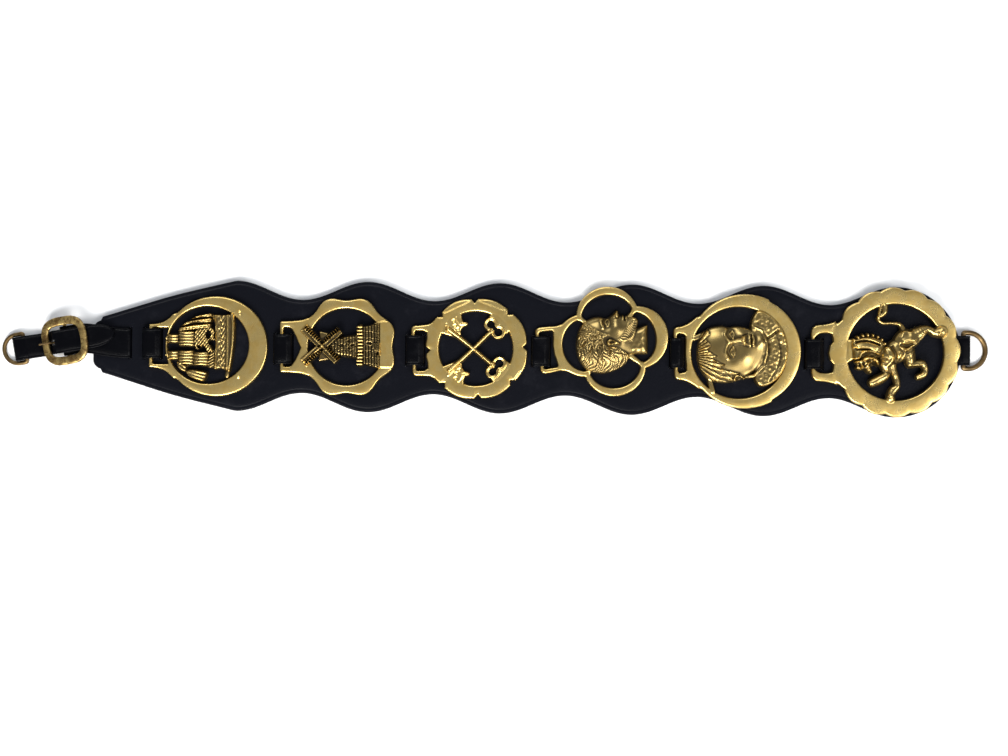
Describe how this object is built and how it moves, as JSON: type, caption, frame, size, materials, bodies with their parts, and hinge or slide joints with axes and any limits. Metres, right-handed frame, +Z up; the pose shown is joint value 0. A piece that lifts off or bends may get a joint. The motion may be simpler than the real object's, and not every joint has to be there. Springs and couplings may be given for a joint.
{
  "type": "martingale strap with horse brasses",
  "caption": "Black leather martingale strap with a scalloped backing, cast horse brasses on leather loops, a buckled billet and a D-ring at each end, lying flat.",
  "frame": {"origin": "bottom centre of the strap as it lies flat", "axes": "+X along the strap from the buckle end to the round end, +Z up through the thickness"},
  "size_m": [0.649, 0.0858, 0.0156],
  "materials": {
    "leather": "smooth black harness leather, fine grain, edges dyed and creased",
    "polished_brass": "cast brass, high places polished, darker patina in the hollows of the relief",
    "antique_brass": "antiqued brass, dull brown with worn bright edges, buckle pitted"
  },
  "bodies": {
    "strap": {"backing": "leather", "threading_strap": "leather", "billet": "leather", "buckle_frame": "antique_brass", "buckle_tongue": "antique_brass"},
    "galleon": {"brass_galleon": "polished_brass"},
    "windmill": {"brass_windmill": "polished_brass"},
    "keys": {"brass_keys": "polished_brass"},
    "profile_head": {"brass_profile_head": "polished_brass"},
    "collared_head": {"brass_collared_head": "polished_brass"},
    "lion": {"brass_lion": "polished_brass"},
    "left_ring": {"d_ring_left": "antique_brass"},
    "right_ring": {"d_ring_right": "antique_brass"}
  },
  "joints": [
    {"name": "galleon_swing", "type": "hinge", "parent": "strap", "child": "galleon", "pos_m": [-0.22552, -0.0005, 0.0065], "axis": [0, -1, 0], "range_deg": [0, 150]},
    {"name": "windmill_swing", "type": "hinge", "parent": "strap", "child": "windmill", "pos_m": [-0.13972, -0.0004, 0.0065], "axis": [0.0087, -1, 0], "range_deg": [0, 150]},
    {"name": "keys_swing", "type": "hinge", "parent": "strap", "child": "keys", "pos_m": [-0.05322, -0.0022, 0.0065], "axis": [0.0436, -0.999, 0], "range_deg": [0, 150]},
    {"name": "profile_head_swing", "type": "hinge", "parent": "strap", "child": "profile_head", "pos_m": [0.02928, -0.0015, 0.0065], "axis": [0.1564, -0.9877, 0], "range_deg": [0, 150]},
    {"name": "collared_head_swing", "type": "hinge", "parent": "strap", "child": "collared_head", "pos_m": [0.11848, -0.0022, 0.0065], "axis": [0.0349, -0.9994, 0], "range_deg": [0, 150]},
    {"name": "lion_swing", "type": "hinge", "parent": "strap", "child": "lion", "pos_m": [0.20848, -0.0012, 0.0065], "axis": [0.0209, -0.9998, 0], "range_deg": [0, 150]},
    {"name": "left_ring_swing", "type": "hinge", "parent": "strap", "child": "left_ring", "pos_m": [-0.30899, -0.00264, 0.00345], "axis": [-0.1736, 0.9848, 0], "range_deg": [0, 150]},
    {"name": "right_ring_swing", "type": "hinge", "parent": "strap", "child": "right_ring", "pos_m": [0.30778, 0.0015, 0.0037], "axis": [0, -1, 0], "range_deg": [0, 95]}
  ]
}
